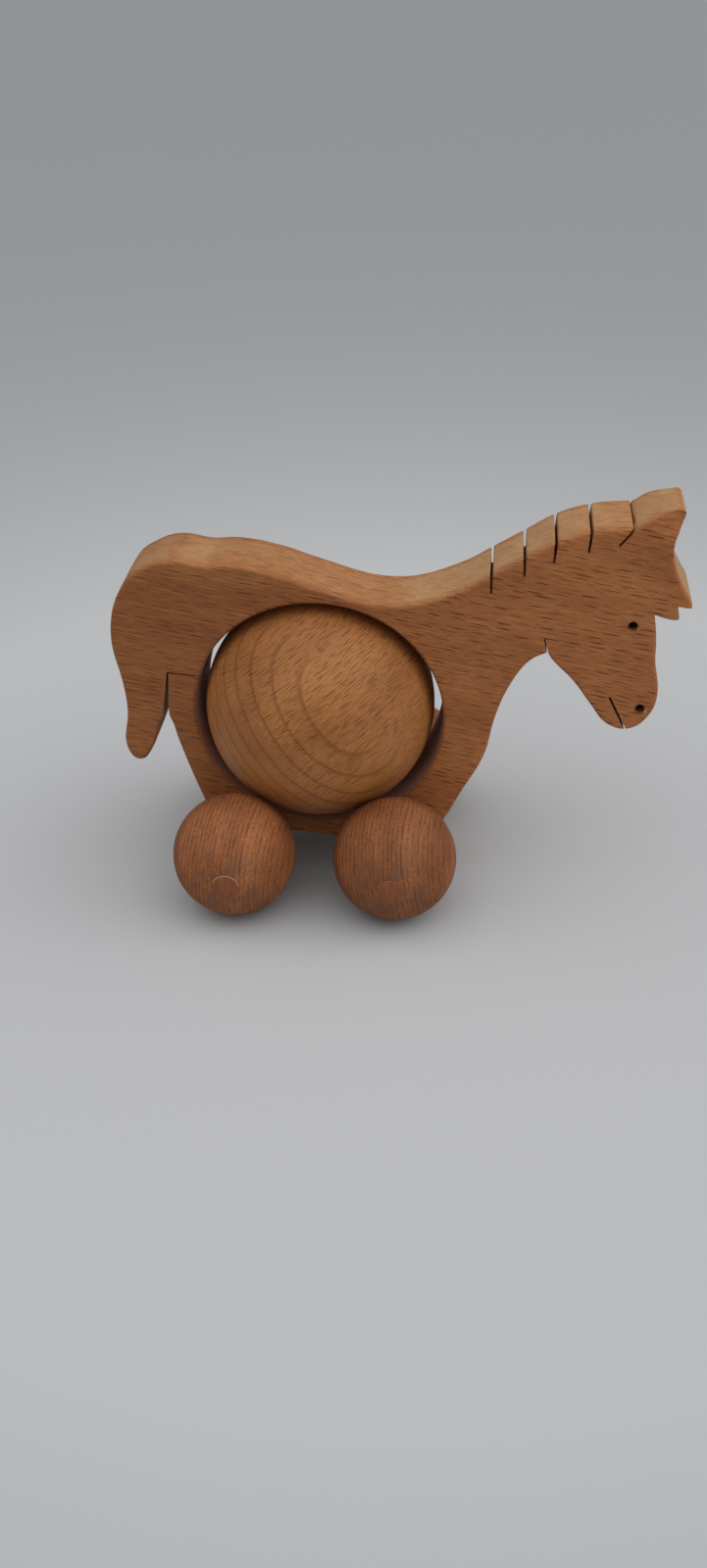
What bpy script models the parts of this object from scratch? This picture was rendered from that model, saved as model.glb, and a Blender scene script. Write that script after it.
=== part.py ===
"""Wooden push-along horse.

A flat horse is sawn from one board, with a large round hole for its belly. Two dowels run through
the feet and carry a ball wheel on each end. A large loose ball lies in the belly hole on the four
ball wheels, and turns against them as the toy rolls.

Metres, +Z up, +X towards the head. The ball's centre is the working origin in X and Y, and the floor
is Z = 0. The whole toy is then centred on its length.
"""

import math

import bmesh
import bpy
from mathutils import Vector

# Stock sizes
BALL_DIAMETER = 0.065
WHEEL_DIAMETER = 0.0345
DOWEL_DIAMETER = 0.008
BOARD_THICKNESS = 0.021

# Running gear
WHEELBASE = 0.0453
WHEEL_SIDE_GAP = 0.0008
AXLE_CLEARANCE = 0.0004
GLUE_LINE = 0.0002
TOUCH_GAP = 0.0003

# Belly hole, sawn by hand and so a little oval, and narrower on the left side by its taper
HOLE_LEAST_GAP = 0.0003
HOLE_OVAL = 0.0004
HOLE_TAPER = 0.001
HOLE_TILT = math.radians(18)
HOLE_FORWARD = 0.0006
HOLE_LIFT = 0.0006

# Outline, drawn from a pattern whose centre lies a little ahead of the ball's and above it
PATTERN_STEP = 0.001
PATTERN_FORWARD = 0.0008
PATTERN_LIFT = 0.0008
NECK_REACH = 0.0494
NECK_RISE = 0.022
BELLY_WALL = 0.0053
FOOT_WALL = 0.0045
EDGE_ROUND = 0.001

# Saw cuts and drilled holes
KERF = 0.00065
FINE_KERF = 0.0004
MANE_CUT_DEPTH = 0.0052
SAW_ENTRY_ANGLE = math.radians(160.4)
EYE_DIAMETER = 0.0026
NOSTRIL_DIAMETER = 0.0026

# Facets
CURVE_STEPS = 4
ROUND_STEPS = 2
HOLE_SIDES = 64
BORE_SIDES = 24
DRILL_SIDES = 12
BALL_SIDES = 48
WHEEL_SIDES = 32
DOME_STEPS = 2
CUT_MARGIN = 0.004
MERGE = 0.00001

# Worked out from the sizes above
BALL_RADIUS = BALL_DIAMETER / 2
WHEEL_RADIUS = WHEEL_DIAMETER / 2
DOWEL_RADIUS = DOWEL_DIAMETER / 2
BORE_RADIUS = DOWEL_RADIUS + AXLE_CLEARANCE
HALF_BOARD = BOARD_THICKNESS / 2
WHEEL_Y = HALF_BOARD + WHEEL_SIDE_GAP + WHEEL_RADIUS
CENTRES_APART = BALL_RADIUS + WHEEL_RADIUS + TOUCH_GAP
BALL_Z = WHEEL_RADIUS + math.sqrt(CENTRES_APART**2 - (WHEELBASE / 2) ** 2 - WHEEL_Y**2)
HOLE_OFF_CENTRE = math.hypot(HOLE_FORWARD, HOLE_LIFT)
HOLE_RADIUS = BALL_RADIUS + HOLE_LEAST_GAP + HOLE_OVAL + HOLE_OFF_CENTRE + HOLE_TAPER / 2

# Places on the board, as (x, z)
HOLE_CENTRE = Vector((HOLE_FORWARD, BALL_Z + HOLE_LIFT))
PATTERN_CENTRE = Vector((PATTERN_FORWARD, BALL_Z + PATTERN_LIFT))
FRONT_AXLE = Vector((WHEELBASE / 2, WHEEL_RADIUS))
REAR_AXLE = Vector((-WHEELBASE / 2, WHEEL_RADIUS))
RUMP = PATTERN_CENTRE + Vector((-HOLE_RADIUS, 0))
CROUP = PATTERN_CENTRE + Vector((-HOLE_RADIUS, HOLE_RADIUS))
LOIN = PATTERN_CENTRE + Vector((0, HOLE_RADIUS))
WITHERS = PATTERN_CENTRE + Vector((HOLE_RADIUS, HOLE_RADIUS))
BREAST = PATTERN_CENTRE + Vector((HOLE_RADIUS, 0))
BELLY = PATTERN_CENTRE + Vector((0, -HOLE_RADIUS - BELLY_WALL))
POLL = WITHERS + Vector((NECK_REACH, NECK_RISE))
FRONT_SOLE = FRONT_AXLE + Vector((0, -BORE_RADIUS - FOOT_WALL))
REAR_SOLE = REAR_AXLE + Vector((0, -BORE_RADIUS - FOOT_WALL))

# Where the neck rises out of the back, from the withers
NECK_ROOT = (4.5, 3.8)
# Each mane cut: its share of the way from the neck's root to the poll, the crest's rise there, and
# how far the cut leans back and goes deeper than the shallowest one
MANE_CUTS = (
    (0.192, 1.2, 0.0, 0.0),
    (0.396, 2.6, 0.0, 0.1),
    (0.588, 3.9, 0.6, 0.8),
    (0.782, 3.2, 0.7, 0.8),
)


def start_clean():
    for obj in list(bpy.data.objects):
        bpy.data.objects.remove(obj, do_unlink=True)
    for collection in list(bpy.data.collections):
        bpy.data.collections.remove(collection)


def new_collection(name, hidden=False):
    collection = bpy.data.collections.new(name)
    collection.hide_render = hidden
    bpy.context.scene.collection.children.link(collection)
    return collection


def add_object(name, mesh, collection, parent=None):
    obj = bpy.data.objects.new(name, mesh)
    obj.parent = parent
    collection.objects.link(obj)
    return obj


def wood(name, colour, roughness):
    material = bpy.data.materials.new(name)
    material.use_nodes = True
    shader = material.node_tree.nodes["Principled BSDF"]
    shader.inputs["Base Color"].default_value = (*colour, 1)
    shader.inputs["Roughness"].default_value = roughness
    shader.inputs["Metallic"].default_value = 0
    material.diffuse_color = (*colour, 1)
    return material


def smooth(anchor, *steps):
    """Points that the outline passes in a smooth curve, in pattern steps from a place on the board."""
    return [(anchor + PATTERN_STEP * Vector(step), "AUTO") for step in steps]


def corner(anchor, *steps):
    """Points where the outline turns sharply."""
    return [(anchor + PATTERN_STEP * Vector(step), "VECTOR") for step in steps]


def crest_points():
    """The points of the mane cuts on the crest of the neck."""
    root = WITHERS + PATTERN_STEP * Vector(NECK_ROOT)
    along = POLL - root
    square = Vector((-along.y, along.x)).normalized()
    return [root + share * along + rise * PATTERN_STEP * square for share, rise, *_ in MANE_CUTS]


def horse_outline():
    """The sawn outline, clockwise from the croup as seen from the horse's right side."""
    back = smooth(CROUP, (-4.5, 11.5), (4.6, 10.1), (11.5, 10.4))
    back += smooth(LOIN, (-11.0, 8.1), (-1.0, 4.6))
    back += smooth(WITHERS, (-13.5, -1.0), NECK_ROOT)
    crest = [(point, "AUTO") for point in crest_points()]
    ear = corner(POLL, (0.5, 0.1))
    ear += smooth(POLL, (4.8, 2.7), (9.2, 4.2), (12.6, 4.1), (11.8, 0.0), (10.3, -5.2))
    forelock = smooth(POLL, (11.4, -11.9), (14.4, -18.1), (16.2, -22.0), (15.3, -24.4), (12.6, -26.0))
    forelock += smooth(POLL, (9.6, -25.7))
    face = corner(POLL, (6.6, -24.7))
    face += smooth(POLL, (7.5, -31.5), (7.7, -38.5), (9.0, -48.0), (7.2, -54.5), (1.8, -59.1))
    jaw = smooth(POLL, (-4.5, -57.6), (-8.9, -52.0), (-14.4, -44.2), (-19.4, -39.0))
    throat = corner(POLL, (-21.5, -36.2))
    throat += smooth(POLL, (-25.5, -38.3))
    chest = smooth(BREAST, (19.2, 12.0), (14.5, 0.5), (11.6, -12.0))
    foreleg = smooth(FRONT_AXLE, (18.0, 11.0), (12.8, 1.0))
    foreleg += smooth(FRONT_SOLE, (7.2, 1.4), (3.5, 0), (-3.5, 0), (-8.0, 1.9))
    belly = smooth(BELLY, (6.5, -0.8), (-1.5, 0.0), (-9.5, 0.9))
    hindleg = smooth(REAR_SOLE, (8.5, 2.6), (3.5, 0), (-3.5, 0), (-7.6, 1.8))
    hindleg += smooth(REAR_AXLE, (-10.6, 4.0))
    hindleg += smooth(RUMP, (-3.1, -20.0), (-6.5, -8.0), (-7.8, -2.6))
    tail = smooth(RUMP, (-8.9, -1.2), (-10.3, -2.6), (-14.0, -12.2), (-18.0, -15.9), (-21.4, -12.0))
    tail += smooth(RUMP, (-20.2, -0.5), (-20.5, 7.5))
    rump = smooth(RUMP, (-22.6, 25.0))
    rump += smooth(CROUP, (-17.2, 5.0), (-11.4, 9.3))
    parts = (back, crest, ear, forelock, face, jaw, throat, chest, foreleg, belly, hindleg, tail, rump)
    return [point for part in parts for point in part]


def curve_prism(name, points, half_depth, collection, parent, edge_round=0.0):
    """A flat outline in X and Z, drawn through (point, handle) pairs and given a depth along Y."""
    curve = bpy.data.curves.new(name, "CURVE")
    curve.dimensions = "2D"
    curve.fill_mode = "BOTH"
    curve.resolution_u = CURVE_STEPS
    curve.extrude = half_depth - edge_round
    curve.bevel_depth = edge_round
    curve.bevel_resolution = ROUND_STEPS
    curve.offset = -edge_round
    spline = curve.splines.new("BEZIER")
    spline.bezier_points.add(len(points) - 1)
    spline.use_cyclic_u = True
    for knot, (place, handle) in zip(spline.bezier_points, points):
        knot.co = (place.x, place.y, 0)
        knot.handle_left_type = handle
        knot.handle_right_type = handle
    drawn = bpy.data.objects.new(name + "_curve", curve)
    drawn.rotation_euler.x = math.radians(90)
    collection.objects.link(drawn)
    bpy.context.view_layer.update()
    graph = bpy.context.evaluated_depsgraph_get()
    mesh = bpy.data.meshes.new_from_object(drawn.evaluated_get(graph))
    mesh.name = name
    solid = bmesh.new()
    solid.from_mesh(mesh)
    bmesh.ops.remove_doubles(solid, verts=solid.verts, dist=MERGE)
    bmesh.ops.recalc_face_normals(solid, faces=solid.faces)
    solid.to_mesh(mesh)
    solid.free()
    prism = add_object(name, mesh, collection, parent)
    prism.matrix_world = drawn.matrix_world
    bpy.data.objects.remove(drawn, do_unlink=True)
    return prism


def turned(name, profile, closed, sides, collection, parent):
    """A turned piece about its own Z, from a profile of (radius, height) that runs down its outer side."""
    edges = [(i, i + 1) for i in range(len(profile) - 1)]
    if closed:
        edges.append((len(profile) - 1, 0))
    mesh = bpy.data.meshes.new(name)
    mesh.from_pydata([(radius, 0, height) for radius, height in profile], edges, [])
    obj = add_object(name, mesh, collection, parent)
    screw = obj.modifiers.new("Turn", "SCREW")
    screw.axis = "Z"
    screw.steps = sides
    screw.render_steps = sides
    screw.use_merge_vertices = True
    screw.merge_threshold = MERGE
    screw.use_smooth_shade = True
    return obj


def cut(body, cutter):
    cutter.hide_render = True
    cutter.display_type = "WIRE"
    boolean = body.modifiers.new(cutter.name, "BOOLEAN")
    boolean.operation = "DIFFERENCE"
    boolean.solver = "EXACT"
    boolean.object = cutter


def drill(name, place, radius, sides, collection, parent):
    """A cutter for a round hole right through the board."""
    depth = BOARD_THICKNESS + 2 * CUT_MARGIN
    mesh = bpy.data.meshes.new(name)
    bit = bmesh.new()
    bmesh.ops.create_cone(
        bit, cap_ends=True, segments=sides, radius1=radius, radius2=radius, depth=depth
    )
    bit.to_mesh(mesh)
    bit.free()
    obj = add_object(name, mesh, collection, parent)
    obj.location = (place.x, 0, place.y)
    obj.rotation_euler.x = math.radians(90)
    return obj


def saw_cut(name, start, end, width, collection, parent):
    """A cutter for a straight saw cut through the board, from one (x, z) place to another."""
    along = (end - start).normalized()
    side = Vector((-along.y, along.x)) * width / 2
    corners = (start + side, end + side, end - side, start - side)
    outline = [(place, "VECTOR") for place in corners]
    return curve_prism(name, outline, HALF_BOARD + CUT_MARGIN, collection, parent)


def hole_edge(angle):
    """The place on the belly hole's edge at an angle from +X towards +Z."""
    long_radius, short_radius = HOLE_RADIUS + HOLE_OVAL, HOLE_RADIUS - HOLE_OVAL
    turned_angle = angle + HOLE_TILT
    reach = long_radius * short_radius / math.hypot(
        short_radius * math.cos(turned_angle), long_radius * math.sin(turned_angle)
    )
    return HOLE_CENTRE + reach * Vector((math.cos(angle), math.sin(angle)))


def belly_hole_cutter(collection, parent):
    """The oval belly hole, tapered along Y and flared at both faces so that it leaves rounded edges."""
    profile = [(0, HALF_BOARD + CUT_MARGIN), (HOLE_RADIUS + EDGE_ROUND, HALF_BOARD + CUT_MARGIN)]
    flare = []
    for step in range(ROUND_STEPS + 2):
        angle = math.radians(90) * step / (ROUND_STEPS + 1)
        inset = EDGE_ROUND * (1 - math.sin(angle))
        drop = EDGE_ROUND * (1 - math.cos(angle))
        flare.append((HOLE_RADIUS + inset, HALF_BOARD - drop))
    profile += flare
    profile += [(radius, -height) for radius, height in reversed(flare)]
    profile += [(HOLE_RADIUS + EDGE_ROUND, -HALF_BOARD - CUT_MARGIN), (0, -HALF_BOARD - CUT_MARGIN)]
    slope = HOLE_TAPER / BOARD_THICKNESS
    profile = [(r + slope * (height - HALF_BOARD) if r else 0, height) for r, height in profile]
    cutter = turned("belly_hole", profile, False, HOLE_SIDES, collection, parent)
    cutter.location = (HOLE_CENTRE.x, 0, HOLE_CENTRE.y)
    cutter.rotation_euler = (math.radians(90), HOLE_TILT, 0)
    cutter.scale = (1 + HOLE_OVAL / HOLE_RADIUS, 1 - HOLE_OVAL / HOLE_RADIUS, 1)
    return cutter


def mane_cutters(collection, parent):
    """Four steep saw cuts across the crest of the neck."""
    cutters = []
    for number, (top, (_, _, lean, deeper)) in enumerate(zip(crest_points(), MANE_CUTS), 1):
        root = top - Vector((0, MANE_CUT_DEPTH)) - PATTERN_STEP * Vector((lean, deeper))
        above = top + (top - root).normalized() * CUT_MARGIN
        cutters.append(saw_cut(f"mane_cut_{number}", above, root, KERF, collection, parent))
    return cutters


def face_cutters(collection, parent):
    """The saw cuts of the ear, throat and mouth, and the drilled eye and nostril."""
    cuts = (
        ("ear_cut", (2.0, 2.4), (-4.0, -5.0), KERF),
        ("throat_cut", (-21.0, -37.4), (-22.2, -31.8), FINE_KERF),
        ("mouth_cut", (1.4, -60.6), (-4.1, -49.0), KERF),
    )
    cutters = []
    for name, start, end, width in cuts:
        ends = [POLL + PATTERN_STEP * Vector(place) for place in (start, end)]
        cutters.append(saw_cut(name, *ends, width, collection, parent))
    holes = (("eye", (1.0, -27.6), EYE_DIAMETER), ("nostril", (4.3, -52.4), NOSTRIL_DIAMETER))
    for name, place, diameter in holes:
        centre = POLL + PATTERN_STEP * Vector(place)
        cutters.append(drill(name, centre, diameter / 2, DRILL_SIDES, collection, parent))
    return cutters


def forelock_cutter(collection, parent):
    """The step that leaves the forelock with two pointed tips."""
    step = corner(POLL, (12.3, -21.8), (18.0, -22.8), (18.0, -29.0), (13.7, -29.0))
    return curve_prism("forelock_step", step, HALF_BOARD + CUT_MARGIN, collection, parent)


def tail_cutters(collection, parent):
    """The narrow slit between the tail and the leg, and the saw's way from it into the belly hole."""
    slit = corner(RUMP, (-7.9, -3.2)) + smooth(RUMP, (-8.1, 1.7), (-7.8, 5.7)) + corner(RUMP, (-7.2, 12.7))
    slit += corner(RUMP, (-7.7, 12.8)) + smooth(RUMP, (-8.8, 5.7), (-9.6, 1.7)) + corner(RUMP, (-10.0, -3.2))
    slit_cutter = curve_prism("tail_slit", slit, HALF_BOARD + CUT_MARGIN, collection, parent)
    start = RUMP + PATTERN_STEP * Vector((-7.5, 12.5))
    rim = hole_edge(SAW_ENTRY_ANGLE)
    end = rim + (rim - start).normalized() * CUT_MARGIN
    return [slit_cutter, saw_cut("saw_entry", start, end, FINE_KERF, collection, parent)]


def make_body(parts, cutters, toy):
    body = curve_prism("body", horse_outline(), HALF_BOARD, parts, toy, EDGE_ROUND)
    tools = [belly_hole_cutter(cutters, toy)]
    for name, place in (("front_bore", FRONT_AXLE), ("rear_bore", REAR_AXLE)):
        tools.append(drill(name, place, BORE_RADIUS, BORE_SIDES, cutters, toy))
    tools += mane_cutters(cutters, toy)
    tools += face_cutters(cutters, toy)
    tools.append(forelock_cutter(cutters, toy))
    tools += tail_cutters(cutters, toy)
    for tool in tools:
        cut(body, tool)
    body.data.materials.append(wood("oiled_beech_board", (0.36, 0.17, 0.075), 0.5))
    return body


def make_ball(parts, toy):
    bpy.ops.mesh.primitive_uv_sphere_add(
        segments=BALL_SIDES, ring_count=BALL_SIDES // 2, radius=BALL_RADIUS
    )
    ball = bpy.context.object
    ball.name = "belly_ball"
    for collection in list(ball.users_collection):
        collection.objects.unlink(ball)
    parts.objects.link(ball)
    ball.parent = toy
    ball.location = (0, 0, BALL_Z)
    ball.data.shade_smooth()
    ball.data.materials.append(wood("oiled_beech_ball", (0.44, 0.22, 0.085), 0.45))
    return ball


def dome(radius, reach, steps):
    """Points of the wheel's sphere from its pole out to a radius, as (radius, height above the centre)."""
    radii = [radius * step / steps for step in range(steps + 1)]
    return [(r, reach + math.sqrt(WHEEL_RADIUS**2 - r**2)) for r in radii]


def make_axle(name, place, parts, toy):
    """A dowel whose ends are sanded flush with the ball wheels."""
    end = dome(DOWEL_RADIUS, WHEEL_Y, DOME_STEPS)
    profile = end + [(radius, -height) for radius, height in reversed(end)]
    axle = turned(name, profile, False, BORE_SIDES, parts, toy)
    axle.location = (place.x, 0, place.y)
    axle.rotation_euler.x = math.radians(90)
    axle.data.materials.append(wood(name + "_dowel", (0.30, 0.12, 0.055), 0.6))
    return axle


def make_wheel(name, axle, side, parts):
    """A ball wheel, bored for its dowel. The axle's Z runs towards the horse's right side."""
    bore = DOWEL_RADIUS + GLUE_LINE
    start = math.acos(bore / WHEEL_RADIUS)
    steps = WHEEL_SIDES // 2
    angles = [start - 2 * start * step / steps for step in range(steps + 1)]
    profile = [(WHEEL_RADIUS * math.cos(a), WHEEL_RADIUS * math.sin(a)) for a in angles]
    wheel = turned(name, profile, True, WHEEL_SIDES, parts, axle)
    wheel.location.z = side * WHEEL_Y
    wheel.data.materials.append(wood(name + "_beech", (0.33, 0.13, 0.055), 0.55))
    return wheel


def main():
    start_clean()
    parts = new_collection("push_along_horse")
    cutters = new_collection("cutters", hidden=True)
    toy = bpy.data.objects.new("toy_frame", None)
    parts.objects.link(toy)
    body = make_body(parts, cutters, toy)
    make_ball(parts, toy)
    for end, place in (("front", FRONT_AXLE), ("rear", REAR_AXLE)):
        axle = make_axle(f"{end}_axle", place, parts, toy)
        make_wheel(f"{end}_right_wheel", axle, 1, parts)
        make_wheel(f"{end}_left_wheel", axle, -1, parts)
    reach = [x for x, y, z in body.bound_box]
    toy.location.x = -(min(reach) + max(reach)) / 2


main()
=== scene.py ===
"""Looks of a push-along wooden horse: oiled beech on a pale studio floor.

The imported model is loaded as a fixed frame. Every piece is then modelled around it, rides on
its body and gets a beech of its own. Lengths are metres, or millimetres where a note says so.
"""

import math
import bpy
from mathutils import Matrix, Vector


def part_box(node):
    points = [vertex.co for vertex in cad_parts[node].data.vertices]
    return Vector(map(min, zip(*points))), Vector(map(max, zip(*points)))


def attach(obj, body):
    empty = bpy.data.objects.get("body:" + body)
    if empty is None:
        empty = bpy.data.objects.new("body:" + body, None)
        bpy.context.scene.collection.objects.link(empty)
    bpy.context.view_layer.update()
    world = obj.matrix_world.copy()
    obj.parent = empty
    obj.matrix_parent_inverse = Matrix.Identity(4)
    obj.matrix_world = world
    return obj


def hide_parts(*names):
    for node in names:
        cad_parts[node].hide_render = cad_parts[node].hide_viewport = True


bl_info = {
    "name": "Push-along Horse",
    "version": (1, 0, 0),
    "blender": (4, 5, 0),
    "location": "View3D > Sidebar > Horse",
    "description": "Dresses a push-along wooden horse in oiled beech and lights it on a pale floor",
    "category": "Object",
}

from itertools import product

import bmesh
import bpy
from bpy.types import Operator, Panel, PropertyGroup
from mathutils import Euler, Matrix, Vector
from mathutils.bvhtree import BVHTree

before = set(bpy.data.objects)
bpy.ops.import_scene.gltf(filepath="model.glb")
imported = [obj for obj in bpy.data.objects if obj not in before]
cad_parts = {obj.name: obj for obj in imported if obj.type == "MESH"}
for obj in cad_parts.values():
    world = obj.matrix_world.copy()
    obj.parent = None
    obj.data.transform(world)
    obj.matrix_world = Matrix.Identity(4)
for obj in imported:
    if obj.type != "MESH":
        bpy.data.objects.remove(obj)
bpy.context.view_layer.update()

MM = 0.001
FRONT, REAR = "front", "rear"
RIGHT, LEFT = "right", "left"


def middle(node):
    """Centre of a node's box."""
    low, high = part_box(node)
    return (Vector(low) + Vector(high)) / 2


def half_size(node):
    """Half of a node's box along each axis."""
    low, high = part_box(node)
    return (Vector(high) - Vector(low)) / 2


BALL_CENTRE = middle("belly_ball")
BALL_RADIUS = half_size("belly_ball").x
WHEEL_RADIUS = half_size("front_right_wheel").x
DOWEL_RADIUS = half_size("front_axle").x
BOARD_HALF = half_size("body").y
NOSE_TOP = Vector(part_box("body")[1])
QUARTER_TURN = math.radians(90.0)

# How finely the new meshes are made
BALL_SUBDIVISIONS = 6
WHEEL_SEGMENTS = 96
WHEEL_RINGS = 72
DOWEL_SIDES = 64
FLOOR_SIDES = 96
WORN_EDGE_STEPS = 2
ROUND_EDGE_STEPS = 3

# Corners nearer to each other than this become one, in a copied, a bevelled and a smoothed mesh
COPY_MERGE = 0.01 * MM
BEVEL_MERGE = 0.08 * MM
SMOOTH_MERGE = 0.002 * MM

# Gloss of the oil on every piece, and the face attribute that marks the walls of saw cuts
OIL_SHINE = 0.25
SAW_CUT = "saw_cut"


def reach_at(radius, out):
    """How far a ball reaches along an axis through its centre, at a distance out from that axis."""
    return (radius ** 2 - out ** 2) ** 0.5


def grain_way(turn):
    """Direction of the grain in a piece whose tree is turned like this."""
    return Euler(turn).to_matrix() @ Vector((1.0, 0.0, 0.0))


def length_of(name, text, millimetres):
    """A length that a user may change, written in millimetres and kept in metres."""
    return bpy.props.FloatProperty(
        name=name, description=text, default=millimetres * MM, unit="LENGTH", precision=5
    )


def share_of(name, text, share):
    """A number from 0 to 1."""
    return bpy.props.FloatProperty(
        name=name, description=text, default=share, min=0.0, max=1.0, subtype="FACTOR"
    )


def colour_of(name, text, *linear):
    """A colour in linear red, green and blue."""
    return bpy.props.FloatVectorProperty(
        name=name, description=text, default=linear, min=0.0, max=1.0, size=3, subtype="COLOR"
    )


def strength_of(name, text, strength):
    """The strength of a light."""
    return bpy.props.FloatProperty(name=name, description=text, default=strength, min=0.0)


def angle_of(name, text, degrees):
    """An angle, written in degrees."""
    return bpy.props.FloatProperty(
        name=name, description=text, default=math.radians(degrees), subtype="ANGLE"
    )


def turn_of(name, text, *degrees):
    """A turn about X, Y and Z, written in degrees."""
    return bpy.props.FloatVectorProperty(
        name=name, description=text, default=[math.radians(d) for d in degrees], size=3,
        subtype="EULER",
    )


def place_of(name, text, *millimetres):
    """A place or an offset, written in millimetres and kept in metres."""
    return bpy.props.FloatVectorProperty(
        name=name, description=text, default=[m * MM for m in millimetres], size=3,
        subtype="TRANSLATION", unit="LENGTH", precision=5,
    )


class BoardLooks(PropertyGroup):
    """The sawn board that is the horse."""

    light: colour_of("Light wood", "Paler wood of the board", 0.38, 0.143, 0.044)
    dark: colour_of("Dark wood", "Redder wood of the board", 0.3, 0.1, 0.031)
    # The edge colour is partly the sanded wood's own, partly painted sheen of the light on the edges
    edge: colour_of("Sanded edge", "Sanded edges, palest where the grain ends", 0.46, 0.262, 0.117)
    fleck: colour_of("Fleck", "Dark spindles where rays are cut across", 0.12, 0.018, 0.002)
    # Painted shade: a greyer brown for the belly hole's wall, standing in for the shade in the gap round the
    # ball
    hole_shade: colour_of("Scorch", "Wall of the belly hole, darkened by the saw", 0.42, 0.22, 0.17)
    chip: colour_of("Chip", "Bare wood where the drill tore the nostril's rim", 0.62, 0.4, 0.22)
    char: colour_of("Char", "Burnt wall of the eye and the nostril", 0.05, 0.028, 0.02)
    grain: turn_of("Grain", "How the tree lies in the board", -45.0, 12.0, 0.0)
    fleck_length: length_of("Fleck length", "Length of the longest flecks", 6.2)
    fleck_width: length_of("Fleck width", "Thickness of a stout fleck", 0.2)
    fleck_room: place_of("Fleck room", "Cell of one long fleck, along the grain first", 6.4, 9.0, 1.0)
    small_room: place_of("Small fleck room", "Cell of one small fleck, along the grain first", 3.8, 6.0, 0.8)
    # Painted light: how much paler the board is painted at the head, as if lit more strongly there
    painted_head_light: share_of("Head tone", "How much paler the board is at the head than at the rump", 0.27)
    # How far the edges go over to the edge colour, which is partly painted sheen
    edge_and_sheen_tone: share_of("Edge tone", "How far the edges go over to their own colour", 0.9)
    mouth_round: length_of("Kerf mouth", "How far sanding rounds the mouths of the mane cuts", 0.45)
    entry_round: length_of("Saw entry", "Worn edges of the saw's way to the belly hole", 0.16)
    # Painted shade for the walls of the narrow saw cuts
    cut: colour_of("Saw cut", "Walls of the narrow saw cuts", 0.24, 0.07, 0.034)
    cut_reach: length_of("Cut reach", "Walls that face each other nearer than this are saw cuts", 0.9)
    ear_tip: place_of("Ear tip", "Ear from the top front corner of the board's box", -3.6, 0.0, -0.5)
    ear_reach: length_of("Ear taper", "How far from its tip the ear is sanded thinner", 8.0)
    ear_thin: share_of("Ear tip thickness", "Thickness of the ear's tip against the board's", 0.77)
    hole_offset: place_of("Hole offset", "Belly hole's centre from the ball's", 0.6, 0.0, 0.6)
    hole_gap: length_of("Hole gap", "How much wider the belly hole is than the ball, a side", 2.6)
    eye: place_of("Eye", "Eye from the same corner as the ear", -15.2, 0.0, -32.2)
    nostril: place_of("Nostril", "Nostril from the same corner", -11.9, 0.0, -57.0)
    eye_radius: length_of("Eye radius", "Half of the drill that made the eye and the nostril", 1.3)
    chip_offset: place_of("Chip offset", "Torn chip from the nostril", 1.6, 0.0, -0.8)
    chip_radius: length_of("Chip radius", "Half of the torn chip", 0.6)
    bare: place_of("Bare patch", "Dip of the rump from the same corner", -132.6, 0.0, -16.2)
    bare_radius: length_of("Bare radius", "Half of the bare patch", 5.5)
    crease_angle: angle_of("Crease angle", "Edges sharper than this stay crisp", 35.0)
    smoothness: bpy.props.IntProperty(
        name="Smoothness", description="Subdivisions of the sanded outline", default=2, min=0, max=3
    )


class BallLooks(PropertyGroup):
    """The large loose ball."""

    light: colour_of("Light wood", "Golden wood of the ball", 0.425, 0.172, 0.05)
    dark: colour_of("Dark wood", "Redder wood of the ball", 0.32, 0.12, 0.034)
    fleck: colour_of("Fleck", "Dark spindles where rays are cut across", 0.11, 0.022, 0.003)
    grain: turn_of("Grain", "How the tree lies in the ball", 151.2, -26.5, 33.0)
    fleck_length: length_of("Fleck length", "Length of the longest flecks", 5.2)
    fleck_width: length_of("Fleck width", "Thickness of a stout fleck", 0.18)
    fleck_room: place_of("Fleck room", "Cell of one long fleck, along the grain first", 5.2, 7.0, 0.8)
    small_room: place_of("Small fleck room", "Cell of one small fleck, along the grain first", 3.2, 5.0, 0.6)
    ring_pitch: length_of("Ring pitch", "Width of the outermost growth ring", 1.42)
    heart: length_of("Heart", "Distance from the ball's centre to the heart of the tree", 25.5)
    flat: length_of("Flat", "Half of the small flat where the lathe held each end", 2.6)
    flat_bevel: length_of("Flat bevel", "Broken edge of that flat", 0.3)
    knot: place_of("Knot", "Small knot from the ball's centre", 2.95, -19.55, 25.8)
    knot_radius: length_of("Knot radius", "Half of that knot", 1.3)
    uneven: length_of("Unevenness", "How far hand sanding left the ball from round", 0.08)
    waves: length_of("Waves", "Distance between the hollows that sanding left", 14.0)


class WheelLooks(PropertyGroup):
    """The four ball wheels."""

    light: colour_of("Light wood", "Paler wood of the wheels", 0.36, 0.13, 0.045)
    dark: colour_of("Dark wood", "Late wood of the wheels", 0.12, 0.027, 0.008)
    # Dirt around the dowel, partly painted shade and a painted grey reflection of the floor
    grime_and_shade: colour_of("Grime", "Dirt from hands and floors", 0.12, 0.065, 0.047)
    ring_pitch: length_of("Ring pitch", "Distance between growth rings", 1.25)
    heart: length_of("Heart", "Distance from a wheel's centre to the heart of the tree", 60.0)
    front_right: turn_of("Front right grain", "How the tree lies in this wheel", -179.0, -56.0, 93.0)
    rear_right: turn_of("Rear right grain", "How the tree lies in this wheel", -159.0, -54.0, 76.0)
    front_left: turn_of("Front left grain", "How the tree lies in this wheel", -170.0, -70.0, 60.0)
    rear_left: turn_of("Rear left grain", "How the tree lies in this wheel", 160.0, -80.0, 20.0)
    front_tone: share_of("Front tone", "How bright the front pair is", 0.77)
    rear_tone: share_of("Rear tone", "How bright the rear pair is", 0.92)
    bore_gap: length_of("Bore gap", "Glue line between wheel and dowel", 0.03)
    bore_bevel: length_of("Bore bevel", "Broken edge of the wheel's bore", 0.12)


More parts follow.
